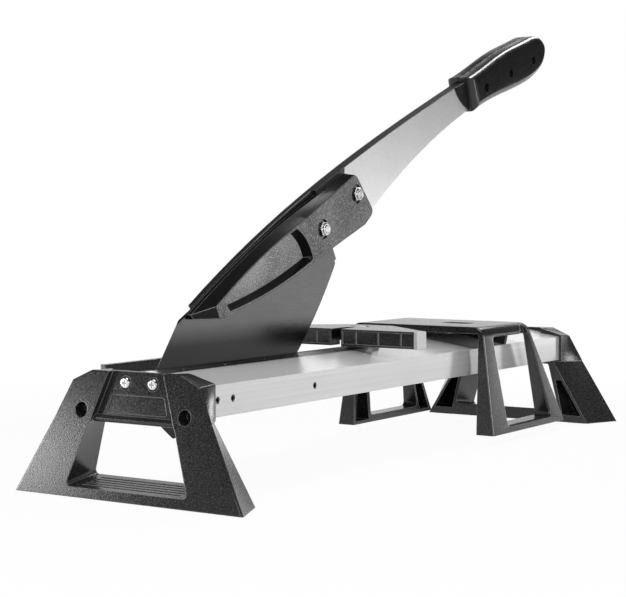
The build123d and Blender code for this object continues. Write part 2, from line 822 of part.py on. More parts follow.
# Lock nuts: a chamfered hexagon with a round collar
with BuildPart() as lever_nuts:
    with BuildSketch(lever_plane(nut_seat)):
        with Locations(*bolt_points):
            RegularPolygon(hex_radius(nut_flats), 6)
    extrude(amount=nut_height)
    chamfer(lever_nuts.faces().group_by(Axis.Y)[0].edges(), length=0.6)
    with BuildSketch(lever_plane(nut_seat)):
        with Locations(*bolt_points):
            Circle(nut_flats / 2 - 0.8)
    extrude(amount=nut_height + nut_collar)
    with BuildSketch(lever_plane(nut_seat)):
        with Locations(*bolt_points):
            Circle(bolt_radius + fit)
    extrude(amount=nut_height + nut_collar, mode=Mode.SUBTRACT)
lever_nuts.part.label = "lever_nuts"
export_step(lever_nuts.part, "parts/lever_nuts.step")

# Handle: two shells that close over the lever's tang
grip_curve = [
    (-94.0, 19.8), (0.0, 26.2), (70.0, 25.8), (96.0, 21.0), (105.5, 8.0),
    (98.0, -7.5), (76.0, -18.0), (28.0, -21.7), (-54.0, -18.2), (-94.0, -20.2),
]
lip_top = (-118.5, 13.2)
lip_low = (-95.0, -17.6)
lip_thickness = 1.0

with BuildPart() as handle_front_shell:
    with BuildSketch(handle_plane(grip_y)):
        with BuildLine():
            Spline(*grip_curve)
            Line(grip_curve[-1], grip_curve[0])
        make_face()
    extrude(amount=handle_half)
    fillet(handle_front_shell.faces().sort_by(Axis.Y)[0].edges(), radius=8)
    add(lever_bar.part, mode=Mode.SUBTRACT)
    # thin lip that runs out onto the lever's face
    with BuildSketch(handle_plane(lever_front)):
        with BuildLine():
            ThreePointArc(lip_top, (-109.0, -4.5), lip_low)
            Polyline(lip_low, (grip_curve[0][0] + 3, lip_low[1]), (grip_curve[0][0] + 3, lip_top[1]), lip_top)
        make_face()
    extrude(amount=lip_thickness)
    with BuildSketch(handle_plane(grip_y)):
        with Locations(*[(s, 0) for s in grip_screws]):
            Circle(2.5 + fit)
    extrude(amount=handle_half, mode=Mode.SUBTRACT)
    with BuildSketch(handle_plane(grip_y - handle_half + 8)):
        with Locations(*[(s, 0) for s in grip_screws]):
            Circle(4.8)
    extrude(amount=8, mode=Mode.SUBTRACT)
handle_front_shell.part.label = "handle_front_shell"
export_step(handle_front_shell.part, "parts/handle_front_shell.step")

with BuildPart() as handle_back_shell:
    with BuildSketch(handle_plane(grip_y)):
        with BuildLine():
            Spline(*grip_curve)
            Line(grip_curve[-1], grip_curve[0])
        make_face()
    extrude(amount=-handle_half)
    fillet(handle_back_shell.faces().sort_by(Axis.Y)[-1].edges(), radius=8)
    add(lever_bar.part, mode=Mode.SUBTRACT)
    with BuildSketch(handle_plane(grip_y)):
        with Locations(*[(s, 0) for s in grip_screws]):
            Circle(2.5 + fit)
    extrude(amount=-handle_half, mode=Mode.SUBTRACT)
    with BuildSketch(handle_plane(grip_y + handle_half - 8)):
        with Locations(*[(s, 0) for s in grip_screws]):
            RegularPolygon(hex_radius(8) + fit, 6)
    extrude(amount=-8, mode=Mode.SUBTRACT)
handle_back_shell.part.label = "handle_back_shell"
export_step(handle_back_shell.part, "parts/handle_back_shell.step")

with BuildPart() as handle_screws:
    with BuildSketch(handle_plane(grip_y - handle_half + 8)):
        with Locations(*[(s, 0) for s in grip_screws]):
            Circle(4.4)
            RegularPolygon(hex_radius(3), 6, mode=Mode.SUBTRACT)
    extrude(amount=3)
    with BuildSketch(handle_plane(grip_y - handle_half + 8)):
        with Locations(*[(s, 0) for s in grip_screws]):
            Circle(2.5)
    extrude(amount=-(2 * handle_half - 16 + 5))
handle_screws.part.label = "handle_screws"
export_step(handle_screws.part, "parts/handle_screws.step")

with BuildPart() as handle_nuts:
    with BuildSketch(handle_plane(grip_y + handle_half - 8)):
        with Locations(*[(s, 0) for s in grip_screws]):
            RegularPolygon(hex_radius(8), 6)
            Circle(2.5 + fit, mode=Mode.SUBTRACT)
    extrude(amount=-4)
handle_nuts.part.label = "handle_nuts"
export_step(handle_nuts.part, "parts/handle_nuts.step")

# Fence: a gapped bar with a tapering plate behind it that turns on one bolt
seat_top = ridge_z + 1.6
fence_bottom = seat_top + sliding_gap
fence_top = fence_bottom + fence_height
fence_bar = 17.0
fence_wall = 3.0
fence_plate = 4.0
boss_radius = 14.0
head_height = 5.0
washer_height = 1.5
head_seat = fence_top - head_height
gap_half = fence_gap / 2

with BuildPart() as fence:
    with BuildSketch(top_plane(fence_top)):
        with BuildLine():
            Polyline(
                (fence_front, -fence_half), (fence_front + fence_bar, -fence_half), (fence_x + 23, -25),
                (fence_x + 23, 25), (fence_front + fence_bar, fence_half), (fence_front, fence_half),
                close=True,
            )
        make_face()
    extrude(amount=-fence_plate)
    with BuildSketch(top_plane(fence_bottom)):
        with Locations((fence_front + fence_bar / 2, 0)):
            Rectangle(fence_bar, 2 * fence_half)
    extrude(amount=fence_height)
    # hollow underside of the bar and the panels between the ribs of its face
    for side in (1, -1):
        with BuildSketch(top_plane(fence_bottom)):
            with Locations((fence_front + fence_bar / 2, side * (gap_half + fence_half) / 2)):
                Rectangle(fence_bar - 2 * fence_wall, fence_half - gap_half - 2 * fence_wall)
        extrude(amount=fence_height - fence_plate, mode=Mode.SUBTRACT)
        for start, stop in ((8.0, 22.9), (24.1, 48.9), (50.1, 74.9), (76.1, 90.0)):
            with BuildSketch(cross_plane(fence_front)):
                with Locations((side * (start + stop) / 2, fence_bottom + fence_height / 2)):
                    Rectangle(stop - start, fence_height - 4)
            extrude(amount=0.7, mode=Mode.SUBTRACT)
    # boss and ribs under the plate
    with BuildSketch(top_plane(fence_bottom)):
        with Locations((fence_x, 0)):
            Circle(boss_radius)
    extrude(amount=fence_height - fence_plate)
    for side in (1, -1):
        with BuildSketch(top_plane(fence_bottom + 4)):
            with Locations(((fence_front + fence_bar + fence_x) / 2 - 3, side * 10)):
                Rectangle(fence_x - fence_front - fence_bar - 2, fence_wall)
        extrude(amount=fence_height - fence_plate - 4)
    # gap for the blade, and the bolt's hole and counterbore
    with BuildSketch(top_plane(fence_bottom)):
        with Locations((fence_front - 1, 0)):
            Rectangle(30, fence_gap, align=(Align.MIN, Align.CENTER))
    extrude(amount=fence_height, mode=Mode.SUBTRACT)
    with BuildSketch(top_plane(fence_bottom)):
        with Locations((fence_x, 0)):
            Circle(bolt_radius + running_fit)
    extrude(amount=fence_height, mode=Mode.SUBTRACT)
    with BuildSketch(top_plane(fence_top)):
        with Locations((fence_x, 0)):
            Circle(9.5)
    extrude(amount=-head_height - washer_height - sliding_gap, mode=Mode.SUBTRACT)
fence.part.label = "fence"
export_step(fence.part, "parts/fence.step")

with BuildPart() as front_fence_cap:
    with BuildSketch(side_plane(-fence_half)) as cap_outline:
        with Locations((fence_front + fence_bar / 2, fence_bottom + fence_height / 2)):
            Rectangle(fence_bar + 1, fence_height)
        fillet(cap_outline.vertices(), radius=1.5)
    extrude(amount=cap_thickness)
    chamfer(front_fence_cap.faces().sort_by(Axis.Y)[0].edges(), length=0.6)
front_fence_cap.part.label = "front_fence_cap"
export_step(front_fence_cap.part, "parts/front_fence_cap.step")

with BuildPart() as back_fence_cap:
    mirror(front_fence_cap.part, about=Plane.XZ)
back_fence_cap.part.label = "back_fence_cap"
export_step(back_fence_cap.part, "parts/back_fence_cap.step")

# What the fence turns on: a seat on the beam's ridge, the bolt, and its clamp plate and nut below
with BuildPart() as fence_seat:
    with BuildSketch(top_plane(seat_top)):
        with Locations((fence_x, 0)):
            Circle(20)
    extrude(amount=-roof_rise)
    with BuildSketch(cross_plane(fence_x - 30)):
        with BuildLine():
            Polyline((-half, beam_bottom), (-half, eave_z), (0, ridge_z), (half, eave_z), (half, beam_bottom), close=True)
        make_face()
    extrude(amount=60, mode=Mode.SUBTRACT)
    with BuildSketch(top_plane(seat_top)):
        with Locations((fence_x, 0)):
            Circle(bolt_radius + fit)
    extrude(amount=-roof_rise, mode=Mode.SUBTRACT)
fence_seat.part.label = "fence_seat"
export_step(fence_seat.part, "parts/fence_seat.step")

with BuildPart() as fence_bolt:
    with BuildSketch(top_plane(head_seat)):
        with Locations((fence_x, 0)):
            Circle(6.5)
    extrude(amount=head_height)
    fillet(fence_bolt.faces().sort_by(Axis.Z)[-1].edges(), radius=0.8)
    with BuildSketch(top_plane(fence_top)):
        with Locations((fence_x, 0)):
            RegularPolygon(hex_radius(5), 6)
    extrude(amount=-3, mode=Mode.SUBTRACT)
    with BuildSketch(top_plane(head_seat)):
        with Locations((fence_x, 0)):
            Circle(bolt_radius)
    extrude(amount=-(head_seat - beam_bottom + 4 + nut_height + 2))
fence_bolt.part.label = "fence_bolt"
export_step(fence_bolt.part, "parts/fence_bolt.step")

with BuildPart() as fence_washer:
    with BuildSketch(top_plane(head_seat)):
        with Locations((fence_x, 0)):
            Circle(8.5)
            Circle(bolt_radius + fit, mode=Mode.SUBTRACT)
    extrude(amount=-washer_height)
fence_washer.part.label = "fence_washer"
export_step(fence_washer.part, "parts/fence_washer.step")

with BuildPart() as fence_clamp_plate:
    with BuildSketch(top_plane(beam_bottom)):
        with Locations((fence_x, 0)):
            RectangleRounded(46, 60, 4)
            Circle(bolt_radius + fit, mode=Mode.SUBTRACT)
    extrude(amount=-4)
fence_clamp_plate.part.label = "fence_clamp_plate"
export_step(fence_clamp_plate.part, "parts/fence_clamp_plate.step")

with BuildPart() as fence_nut:
    with BuildSketch(top_plane(beam_bottom - 4)):
        with Locations((fence_x, 0)):
            RegularPolygon(hex_radius(nut_flats), 6)
            Circle(bolt_radius + fit, mode=Mode.SUBTRACT)
    extrude(amount=-nut_height)
fence_nut.part.label = "fence_nut"
export_step(fence_nut.part, "parts/fence_nut.step")

# Plank support: a top with two open side frames that straddle the beam; its ribs rest on the beam's slopes
support_top = ridge_z + 13.8
support_foot = support_top - support_height
support_start = base_length - support_setback
support_inner = half + support_clear
support_spread = support_inner + support_leg
support_plate = 7.2
apron_z = support_top - 12
shoulder_y = support_inner + support_shoulder
top_near = support_start + 4
top_far = support_start + 111
base_far = support_start + support_base
bar_top = support_foot + 8


def support_wall(z):
    """Side offset of the frames' outer faces at a height."""
    return blend(support_spread, shoulder_y, (z - support_foot) / (apron_z - support_foot))


# what the legs lack on their inner sides
with BuildPart() as leg_hollows:
    with BuildSketch(side_plane(1 - support_inner)):
        with BuildLine():
            Polyline(
                (support_start + 3.5, support_foot + 3.5), (support_start + 33, support_foot + 3.5),
                (top_near + 16, apron_z - 9), (top_near + 2.8, apron_z - 9), close=True,
            )
        make_face()
        with BuildLine():
            Polyline(
                (base_far - 29, support_foot + 3.5), (base_far - 7, support_foot + 3.5),
                (top_far + 11, apron_z - 13), (top_far + 7.5, apron_z - 13), close=True,
            )
        make_face()
    extrude(amount=30)
    with BuildSketch(cross_plane(support_start - 5)):
        with BuildLine():
            Polyline(
                (2 - support_inner, support_foot),
                (3.2 - support_wall(support_foot), support_foot),
                (3.2 - support_wall(apron_z), apron_z),
                (2 - support_inner, apron_z),
                close=True,
            )
        make_face()
    extrude(amount=support_base + 10, mode=Mode.INTERSECT)
    mirror(about=Plane.XZ)

with BuildPart() as plank_support:
    with BuildSketch(cross_plane(support_start - 5)) as section:
        with BuildLine():
            Polyline(
                *both_sides([(support_spread, support_foot), (support_wall(support_top), support_top)]), close=True
            )
        make_face()
        fillet(section.vertices().group_by(Axis.Y)[-1], radius=12)
        with BuildLine():
            Polyline(
                *both_sides([(support_inner, support_foot - 1), (support_inner, support_top - support_plate)]),
                close=True,
            )
        make_face(mode=Mode.SUBTRACT)
    extrude(amount=support_base + 10)
    with BuildSketch(side_plane(support_spread + 5)):
        with BuildLine():
            Polyline(
                (support_start, support_foot), (top_near, support_top), (top_far, support_top),
                (base_far, support_foot), close=True,
            )
        make_face()
    extrude(amount=2 * support_spread + 10, mode=Mode.INTERSECT)
    # windows through the side frames
    with BuildSketch(side_plane(support_spread + 5)) as side_window:
        with BuildLine():
            Polyline(
                (top_near + 21, apron_z), (support_start + 37, bar_top), (base_far - 34, bar_top),
                (top_far, apron_z), close=True,
            )
        make_face()
        fillet(side_window.vertices(), radius=4)
    extrude(amount=2 * support_spread + 10, mode=Mode.SUBTRACT)
    # every edge of the outer sides is rounded but those of the soles and the shoulders
    sides = plank_support.faces().filter_by(
        lambda f: abs(f.normal_at().Y) > 0.9 and abs(f.center().Y) > shoulder_y
    )
    fillet(sides.edges().sort_by(Axis.Z)[2:-2], radius=support_round)
    # an arched notch in each apron, and the hollow inner sides of the legs
    for side in (1, -1):
        with BuildSketch(side_plane(side * (support_inner + 1))):
            with Locations((top_far - 11, apron_z)):
                Circle(9.5)
        extrude(amount=-side * 30, mode=Mode.SUBTRACT)
    add(leg_hollows.part, mode=Mode.SUBTRACT)
    # ribs that sit on the beam, and a shallow recess in the top
    for rib_x in (top_near + 20, top_far - 24):
        with BuildSketch(cross_plane(rib_x)):
            with BuildLine():
                Polyline(
                    (support_inner, support_top - support_plate),
                    (half + 4, support_top - support_plate),
                    (half, eave_z + sliding_gap),
                    (0, ridge_z + sliding_gap),
                    (-half, eave_z + sliding_gap),
                    (-half - 4, support_top - support_plate),
                    (-support_inner, support_top - support_plate),
                    (-support_inner, support_top - support_plate + 1),
                    (support_inner, support_top - support_plate + 1),
                    close=True,
                )
            make_face()
        extrude(amount=4)
    with BuildSketch(top_plane(support_top)):
        with Locations((top_near + 56, -22)):
            RectangleRounded(20, 34, 4)
    extrude(amount=-1, mode=Mode.SUBTRACT)
plank_support.part.label = "plank_support"
export_step(plank_support.part, "parts/plank_support.step")
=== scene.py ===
# %% [markdown]
# # A laminate flooring cutter
#
# The cutter's solids come from the packed part, already in place and in metres. This lesson gives
# them their finishes: grained black mouldings, bright extruded aluminium, satin metals and a glossy
# grip. Then it sets the cutter on a white floor, under the kind of light that shows a black product
# well.

# %% Load the solids
import json
from math import cos, radians, sin

import bmesh
import bpy
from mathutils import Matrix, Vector


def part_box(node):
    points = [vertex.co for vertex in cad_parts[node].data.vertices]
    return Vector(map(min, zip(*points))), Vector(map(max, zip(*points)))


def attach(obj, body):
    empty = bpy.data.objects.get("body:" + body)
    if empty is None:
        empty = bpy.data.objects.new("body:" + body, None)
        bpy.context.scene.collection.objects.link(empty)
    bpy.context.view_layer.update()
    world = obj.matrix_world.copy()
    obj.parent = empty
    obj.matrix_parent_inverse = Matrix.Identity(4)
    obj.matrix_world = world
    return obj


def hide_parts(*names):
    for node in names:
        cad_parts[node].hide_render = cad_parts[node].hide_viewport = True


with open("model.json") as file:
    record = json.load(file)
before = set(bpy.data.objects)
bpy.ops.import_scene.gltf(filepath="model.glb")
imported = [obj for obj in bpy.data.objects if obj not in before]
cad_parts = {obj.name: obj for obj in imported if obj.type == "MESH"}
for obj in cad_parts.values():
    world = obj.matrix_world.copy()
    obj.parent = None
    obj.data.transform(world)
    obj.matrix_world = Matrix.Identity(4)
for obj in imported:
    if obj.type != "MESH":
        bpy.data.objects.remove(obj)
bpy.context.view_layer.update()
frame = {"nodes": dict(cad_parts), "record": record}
nodes = frame["nodes"]

# %% [markdown]
# ## Camera
#
# The cutter is seen through a long lens, close to the floor, from the pivot's end and about a third
# of the way round to the long side. A long lens keeps the far foot nearly as large as the near one.
# Yaw and pitch say it more plainly than a rotation in angles, so the camera is turned to look along a
# direction made from them.


# %% Camera
def put_in_scene(name, data):
    made = bpy.data.objects.new(name, data)
    bpy.context.scene.collection.objects.link(made)
    return made


camera_place = Vector((-1.48395, -0.9077, 0.2446))
camera_yaw = radians(33.31)
camera_pitch = radians(2.85)
heading = Vector((cos(camera_yaw), sin(camera_yaw), 0.0))
look = Vector((heading.x * cos(camera_pitch), heading.y * cos(camera_pitch), -sin(camera_pitch)))

lens = bpy.data.cameras.new("camera")
lens.sensor_fit = "HORIZONTAL"
lens.sensor_width = 36.0
lens.lens = 96.26
lens.clip_end = 50.0
camera = put_in_scene("camera", lens)
camera.location = camera_place
camera.rotation_euler = look.to_track_quat("-Z", "Y").to_euler()
bpy.context.scene.camera = camera
print("camera looks along", [round(v, 4) for v in look])

# %% [markdown]
# ## Writing finishes
#
# A finish is a small tree of nodes. Wiring nodes by hand hides the idea, so three classes keep it
# readable. Value wraps a node's output, so that a sum can be written as a sum. Recipe makes any node
# from its type, its settings and what feeds its sockets. Finish is a recipe for a surface, with the
# few patterns that the cutter needs.


# %% Values
class Value:
    """A node's output that can be added, taken away and scaled like a number."""

    def __init__(self, recipe, output):
        self.recipe = recipe
        self.output = output

    def maths(self, operation, first, second):
        return self.recipe.node("ShaderNodeMath", {"operation": operation}, {0: first, 1: second})

    def __add__(self, other):
        return self.maths("ADD", self, other)

    __radd__ = __add__

    def __sub__(self, other):
        return self.maths("SUBTRACT", self, other)

    def __rsub__(self, other):
        return self.maths("SUBTRACT", other, self)

    def __mul__(self, other):
        return self.maths("MULTIPLY", self, other)

    __rmul__ = __mul__


print("Value:", Value.__doc__)


# %% Recipes
class Recipe:
    """A tree of nodes that grows one node at a time."""

    def __init__(self, tree):
        self.tree = tree

    def node(self, kind, settings=None, sockets=None, output=0):
        made = self.tree.nodes.new(kind)
        for name, setting in (settings or {}).items():
            setattr(made, name, setting)
        for name, value in (sockets or {}).items():
            self.feed(made.inputs[name], value)
        return Value(self, made.outputs[output])

    def feed(self, socket, value):
        if isinstance(value, Value):
            self.tree.links.new(value.output, socket)
        else:
            socket.default_value = value

    def range(self, value, low, high, out_low, out_high):
        """A value moved from one range into another, and kept inside it."""
        ends = {"From Min": low, "From Max": high, "To Min": out_low, "To Max": out_high}
        return self.node("ShaderNodeMapRange", sockets={"Value": value, **ends})

    def along(self, first, second):
        """How far one direction points along another."""
        return self.node("ShaderNodeVectorMath", {"operation": "DOT_PRODUCT"}, {0: first, 1: second}, "Value")


print("Recipe:", Recipe.__doc__)

# %% Finishes
noise_low, noise_high = 0.3, 0.7
edge_samples = 6
edge_start, edge_full = 0.995, 0.9
mix_factor, mix_first, mix_second, mix_result = 0, 6, 7, 2


class Finish(Recipe):
    """A recipe for a surface."""

    def __init__(self, name):
        self.material = bpy.data.materials.new(name)
        self.material.use_nodes = True
        super().__init__(self.material.node_tree)
        self.shader = self.tree.nodes["Principled BSDF"]
        self.place = self.node("ShaderNodeTexCoord", output="Object")

    def set(self, **sockets):
        """Feeds the shader's sockets, whose names are written with underscores for spaces."""
        for name, value in sockets.items():
            self.feed(self.shader.inputs[name.replace("_", " ")], value)

    def part_of_place(self, axis):
        """One of the object coordinates by itself."""
        return self.node("ShaderNodeSeparateXYZ", sockets={0: self.place}, output=axis)

    def stretched(self, scale):
        """Object coordinates, scaled for a pattern that runs in one direction."""
        return self.node("ShaderNodeMapping", sockets={"Vector": self.place, "Scale": scale})

    def noise(self, scale, detail=2.0, vector=None, roughness=0.5):
        """A cloudy pattern, finer for a larger scale."""
        texture = {"Scale": scale, "Detail": detail, "Roughness": roughness}
        return self.node("ShaderNodeTexNoise", sockets={"Vector": vector or self.place, **texture})

    def spread(self, noise, low, high):
        """Two values with a noise between them. A noise is mostly mid-grey, so its middle is spread."""
        return self.range(noise, noise_low, noise_high, low, high)

    def mix(self, factor, first, second):
        """A colour between two others. Mix has sockets for each kind of data. These are for colours."""
        sockets = {mix_factor: factor, mix_first: first, mix_second: second}
        return self.node("ShaderNodeMix", {"data_type": "RGBA"}, sockets, mix_result)

    def normal(self):
        return self.node("ShaderNodeNewGeometry", output="Normal")

    def rounded(self, radius):
        """The surface's normal with its edges rounded."""
        return self.node("ShaderNodeBevel", {"samples": edge_samples}, {"Radius": radius})

    def wear_and_highlight_edges(self, rounded):
        """A mask that is 1 on edges, where the rounded normal leaves the plain one. It marks edge wear and a
        painted highlight.
        """
        return self.range(self.along(rounded, self.normal()), edge_start, edge_full, 0.0, 1.0)

    def facing(self, axis, low=0.96, high=0.99):
        """A mask that is 1 where the surface lies square to an axis, whichever way it faces."""
        square = self.node("ShaderNodeMath", {"operation": "ABSOLUTE"}, {0: self.along(self.normal(), axis)})
        return self.range(square, low, high, 0.0, 1.0)

    def bump(self, height, strength, distance, normal):
        relief = {"Height": height, "Strength": strength, "Distance": distance}
        return self.node("ShaderNodeBump", sockets={"Normal": normal, **relief})

    def report(self):
        print(self.material.name, "nodes:", len(self.tree.nodes))


def grey(level):
    return (level, level, level, 1.0)


print("Finish:", Finish.__doc__)

# %% [markdown]
# ## Grained black moulding
#
# The feet, the support, the fence, the rail and the blade's cover are moulded in tools whose walls
# are spark-eroded, so their faces carry a fine grain like sand. Under a side light it shows as light
# specks on black. A photograph of such grain would fix its scale to one view, so a fine noise makes
# it: as a bump, and as specks that handling has lightened a little. Edges are lighter still: partly
# wear, partly a painted highlight.

# %% Grained black moulding
grain_size = 0.0012
grain_depth = 0.0005
grain_gloss, grain_haze = 0.06, 0.08
speck_start, speck_full = 0.5, 0.68
cloud_start, cloud_full, cloud_share = 0.35, 0.65, 0.2
moulded_edge = 0.0011
# Edges get a lighter tone: partly wear, partly a painted highlight.
edge_wear_and_highlight = 0.8
smooth_gloss = 0.16


def grained(plastic, dark, light, wear_and_highlight_tone, roughness, bump, share=1.0, even=0.0):
    """A grained skin where share is 1, smooth and dark where it is 0. The sand is at least as pale as even.
    On the cover, share and even also carry painted light and painted shade.
    """
    grain = plastic.noise(1.0 / grain_size, detail=3.0, roughness=0.7)
    specks = plastic.range(grain, speck_start, speck_full, even, 1.0)
    clouds = plastic.range(plastic.noise(scale=20.0), cloud_start, cloud_full, 0.0, cloud_share)
    rounded = plastic.rounded(moulded_edge)
    skin = plastic.mix((specks + clouds) * share, grey(dark), grey(light))
    sandy_roughness = plastic.spread(grain, roughness - grain_gloss, roughness + grain_haze)
    plastic.set(
        # Edges are painted lighter: partly wear, partly a painted highlight.
        Base_Color=plastic.mix(plastic.wear_and_highlight_edges(rounded) * edge_wear_and_highlight, skin, grey(wear_and_highlight_tone)),
        Roughness=sandy_roughness - (1.0 - share) * smooth_gloss,
        Normal=plastic.bump(grain * share, bump, grain_depth, rounded),
    )


moulding = Finish("grained_moulding")
grained(moulding, dark=0.007, light=0.04, wear_and_highlight_tone=0.22, roughness=0.2, bump=0.2)
moulding.report()

# %% [markdown]
# ## The blade's cover
#
# The cover leaves its tool sideways. Only the walls square to that pull can be eroded deeply, because
# a grained wall along the pull would hold the moulding fast. So its face and its pocket's floor are
# grained, and the bevel and the pocket's walls are smooth. The face and the floor are also painted
# pale, the floor palest: painted light. The smooth walls are painted black: painted shade. Faces could
# be picked one by one, but the normal tells the two kinds apart. The whole cover is less shiny than
# the other mouldings, so its specular level is low.

# %% The blade's cover
cover_pull = (0.0, 1.0, 0.0)
cover_face, pocket_floor = -0.0135, -0.0095
face_share = 0.5
cover_moulding = Finish("cover_moulding")
# The pocket's floor is painted paler than the face: painted light.
painted_floor_light = cover_moulding.range(cover_moulding.part_of_place("Y"), cover_face, pocket_floor, face_share, 1.0)
grain_and_painted_light = cover_moulding.facing(cover_pull) * painted_floor_light
# Faces square to the pull are painted pale and the rest black: painted light and painted shade.
grained(
    cover_moulding, dark=0.006, light=0.47, wear_and_highlight_tone=0.3, roughness=0.34, bump=0.3, share=grain_and_painted_light, even=0.22
)
cover_moulding.set(Specular_IOR_Level=0.12)
cover_moulding.report()

# %% [markdown]
# ## Glossy grip
#
# The handle's shells are polished, so they show long soft highlights. Polished plastic is never quite
# even. A bump would break the highlights up, so a faint change of roughness keeps the shells from
# looking like glass.

# %% Glossy grip
grip = Finish("glossy_grip")
peel = grip.noise(scale=120.0, detail=1.0)
grip.set(
    Base_Color=grip.mix(grip.noise(scale=30.0), grey(0.005), grey(0.01)),
    Roughness=grip.spread(peel, 0.2, 0.26),
)
grip.report()

# %% [markdown]
# ## Bright aluminium
#
# The beam's halves are extruded and bright: they mirror the fence and the support's legs. The die
# leaves faint lines along the beam. They are too fine to model, so noise that is stretched along X
# varies the tone, the roughness and a very shallow bump. Planks slide over the gently sloping tops.
# Level faces are painted paler than the sides, as painted light, and are also hazier and less metallic.

# %% Bright aluminium
along_beam = (3.0, 900.0, 900.0)
extruded_edge = 0.0006
upwards = (0.0, 0.0, 1.0)
level_start, level_full = 0.9, 0.95
aluminium = Finish("bright_aluminium")
die_lines = aluminium.noise(1.0, detail=3.0, vector=aluminium.stretched(along_beam), roughness=0.6)
haze = aluminium.noise(scale=12.0)
# Level faces are painted paler: painted light.
painted_top_light = aluminium.facing(upwards, level_start, level_full)
drawn = aluminium.mix(aluminium.spread(die_lines, 0.0, 1.0), grey(0.5), grey(0.6))
aluminium.set(
    Base_Color=aluminium.mix(painted_top_light, drawn, grey(0.84)),
    Metallic=0.55 - painted_top_light * 0.1,
    Roughness=aluminium.spread(die_lines, 0.1, 0.16) + haze * 0.04 + painted_top_light * 0.08,
    Normal=aluminium.bump(
        die_lines, strength=0.02, distance=0.0002, normal=aluminium.rounded(extruded_edge)
    ),
)
aluminium.report()

# %% [markdown]
# ## Satin metals
#
# The blade is ground and darkened, the lever is bead-blasted and bright, and the strips beside the
# slot are dull. They differ only in tone, in grain and in what painted shade they carry, so one
# function writes all three. The blade is painted darker towards the slot: painted shade. The lever's
# narrow cut edges are painted dark, and so is its face beside the cover: painted shade.

# %% A satin metal
cut_edge = 0.0004
stain_start, stain_full, stain_share = 0.35, 0.7, 0.2


def satin(name, tones, roughness, stretch, shade=None, shade_tone=0.0):
    metal = Finish(name)
    lines = metal.noise(1.0, detail=3.0, vector=metal.stretched(stretch), roughness=0.65)
    stains = metal.range(metal.noise(scale=14.0, detail=3.0), stain_start, stain_full, 0.0, 1.0)
    mottle = metal.spread(lines, 0.0, 1.0 - stain_share) + stains * stain_share
    skin = metal.mix(mottle, *(grey(tone) for tone in tones))
    # A shade mask darkens the skin towards shade_tone: painted shade.
    if shade:
        skin = metal.mix(shade(metal), grey(shade_tone), skin)
    metal.set(
        Base_Color=skin,
        Metallic=1.0,
        Roughness=metal.spread(lines, *roughness),
        Normal=metal.bump(lines, strength=0.08, distance=0.0003, normal=metal.rounded(cut_edge)),
    )
    metal.report()
    return metal


strip_steel = satin(
    "dull_strip", tones=(0.26, 0.36), roughness=(0.3, 0.42), stretch=(8.0, 700.0, 700.0)
)

# %% The blade and the lever
# The blade darkens towards the slot between these heights: painted shade.
shade_full_below, shade_gone_above = 0.128, 0.146
skin_left_in_shade = 0.2
cover_end = (-0.0505, -0.05)
lever_front = (-0.001, 0.0)
lever_face = (0.0, 1.0, 0.0)


def painted_slot_shade(metal):
    """1 on the blade's upper part, less towards the slot, where shade is painted."""
    return metal.range(metal.part_of_place("Z"), shade_full_below, shade_gone_above, skin_left_in_shade, 1.0)


def lever_painted_shade(metal):
    """1 on the lever's blasted faces, 0 where shade is painted: on its cut edges and beside the cover."""
    along, across = (metal.part_of_place(axis) for axis in "XY")
    # Beside the cover the lever is painted black: painted shade.
    painted_cover_shade = metal.range(along, *cover_end, 1.0, 0.0) * metal.range(across, *lever_front, 1.0, 0.0)
    return metal.facing(lever_face) * (1 - painted_cover_shade)


# The blade's lower part is painted darker: painted shade.
blade_steel = satin(
    "ground_blade", tones=(0.075, 0.11), roughness=(0.18, 0.26), stretch=(60.0, 400.0, 900.0),
    shade=painted_slot_shade, shade_tone=0.012,
)
# The lever's narrow edges and its face beside the cover are painted dark: painted shade.
lever_alloy = satin(
    "blasted_lever", tones=(0.66, 0.8), roughness=(0.36, 0.44), stretch=(700.0, 700.0, 700.0),
    shade=lever_painted_shade, shade_tone=0.07,
)

# %% [markdown]
# ## Screws, nuts and small pieces
#
# Zinc plating is bright with a slight cloudiness. The side screws are blackened, the bush is bronze,
# the pads are rubber and the fence's end caps are pale satin plastic. Each could have a tree of its
# own, but they are small in view and a cloudy noise suits them all, so they share one function.


# %% Small finishes
def plated(name, dark, light, roughness, metallic=1.0):
    plate = Finish(name)
    cloud = plate.noise(scale=260.0)
    plate.set(
        Base_Color=plate.mix(cloud, dark, light),
        Metallic=metallic,
        Roughness=plate.spread(cloud, *roughness),
        Normal=plate.bump(cloud, strength=0.05, distance=0.0002, normal=plate.rounded(cut_edge)),
    )
    plate.report()
    return plate


zinc = plated("bright_zinc", grey(0.5), grey(0.64), roughness=(0.18, 0.3))
black_oxide = plated("black_oxide", grey(0.03), grey(0.07), roughness=(0.35, 0.5))
bronze = plated("turned_bronze", (0.42, 0.27, 0.11, 1.0), (0.55, 0.37, 0.17, 1.0), roughness=(0.25, 0.4))
rubber = plated("sole_rubber", grey(0.012), grey(0.03), roughness=(0.75, 0.9), metallic=0.0)
pale_cap = plated("pale_cap", grey(0.38), grey(0.46), roughness=(0.4, 0.5), metallic=0.0)

# %% [markdown]
# ## A finish for every solid
#
# The packed record gives each solid a material slot, such as aluminium or zinc. Naming solids one by
# one would miss a new one, so a table from slot to finish dresses them all. Only the blade's cover is
# set apart: its slot is the black mouldings', but its skin carries painted light and painted shade.

# %% Give every solid its finish
finishes = {
    "black_plastic": moulding,
    "handle_plastic": grip,
    "grey_plastic": pale_cap,
    "rubber": rubber,
    "aluminium": aluminium,
    "strip_steel": strip_steel,
    "blade_steel": blade_steel,
    "lever_alloy": lever_alloy,
    "zinc": zinc,
    "dark_screw": black_oxide,
    "bronze": bronze,
}
finish_of = {piece["node"]: finishes[piece["material_slot"]] for piece in frame["record"]["subparts"]}
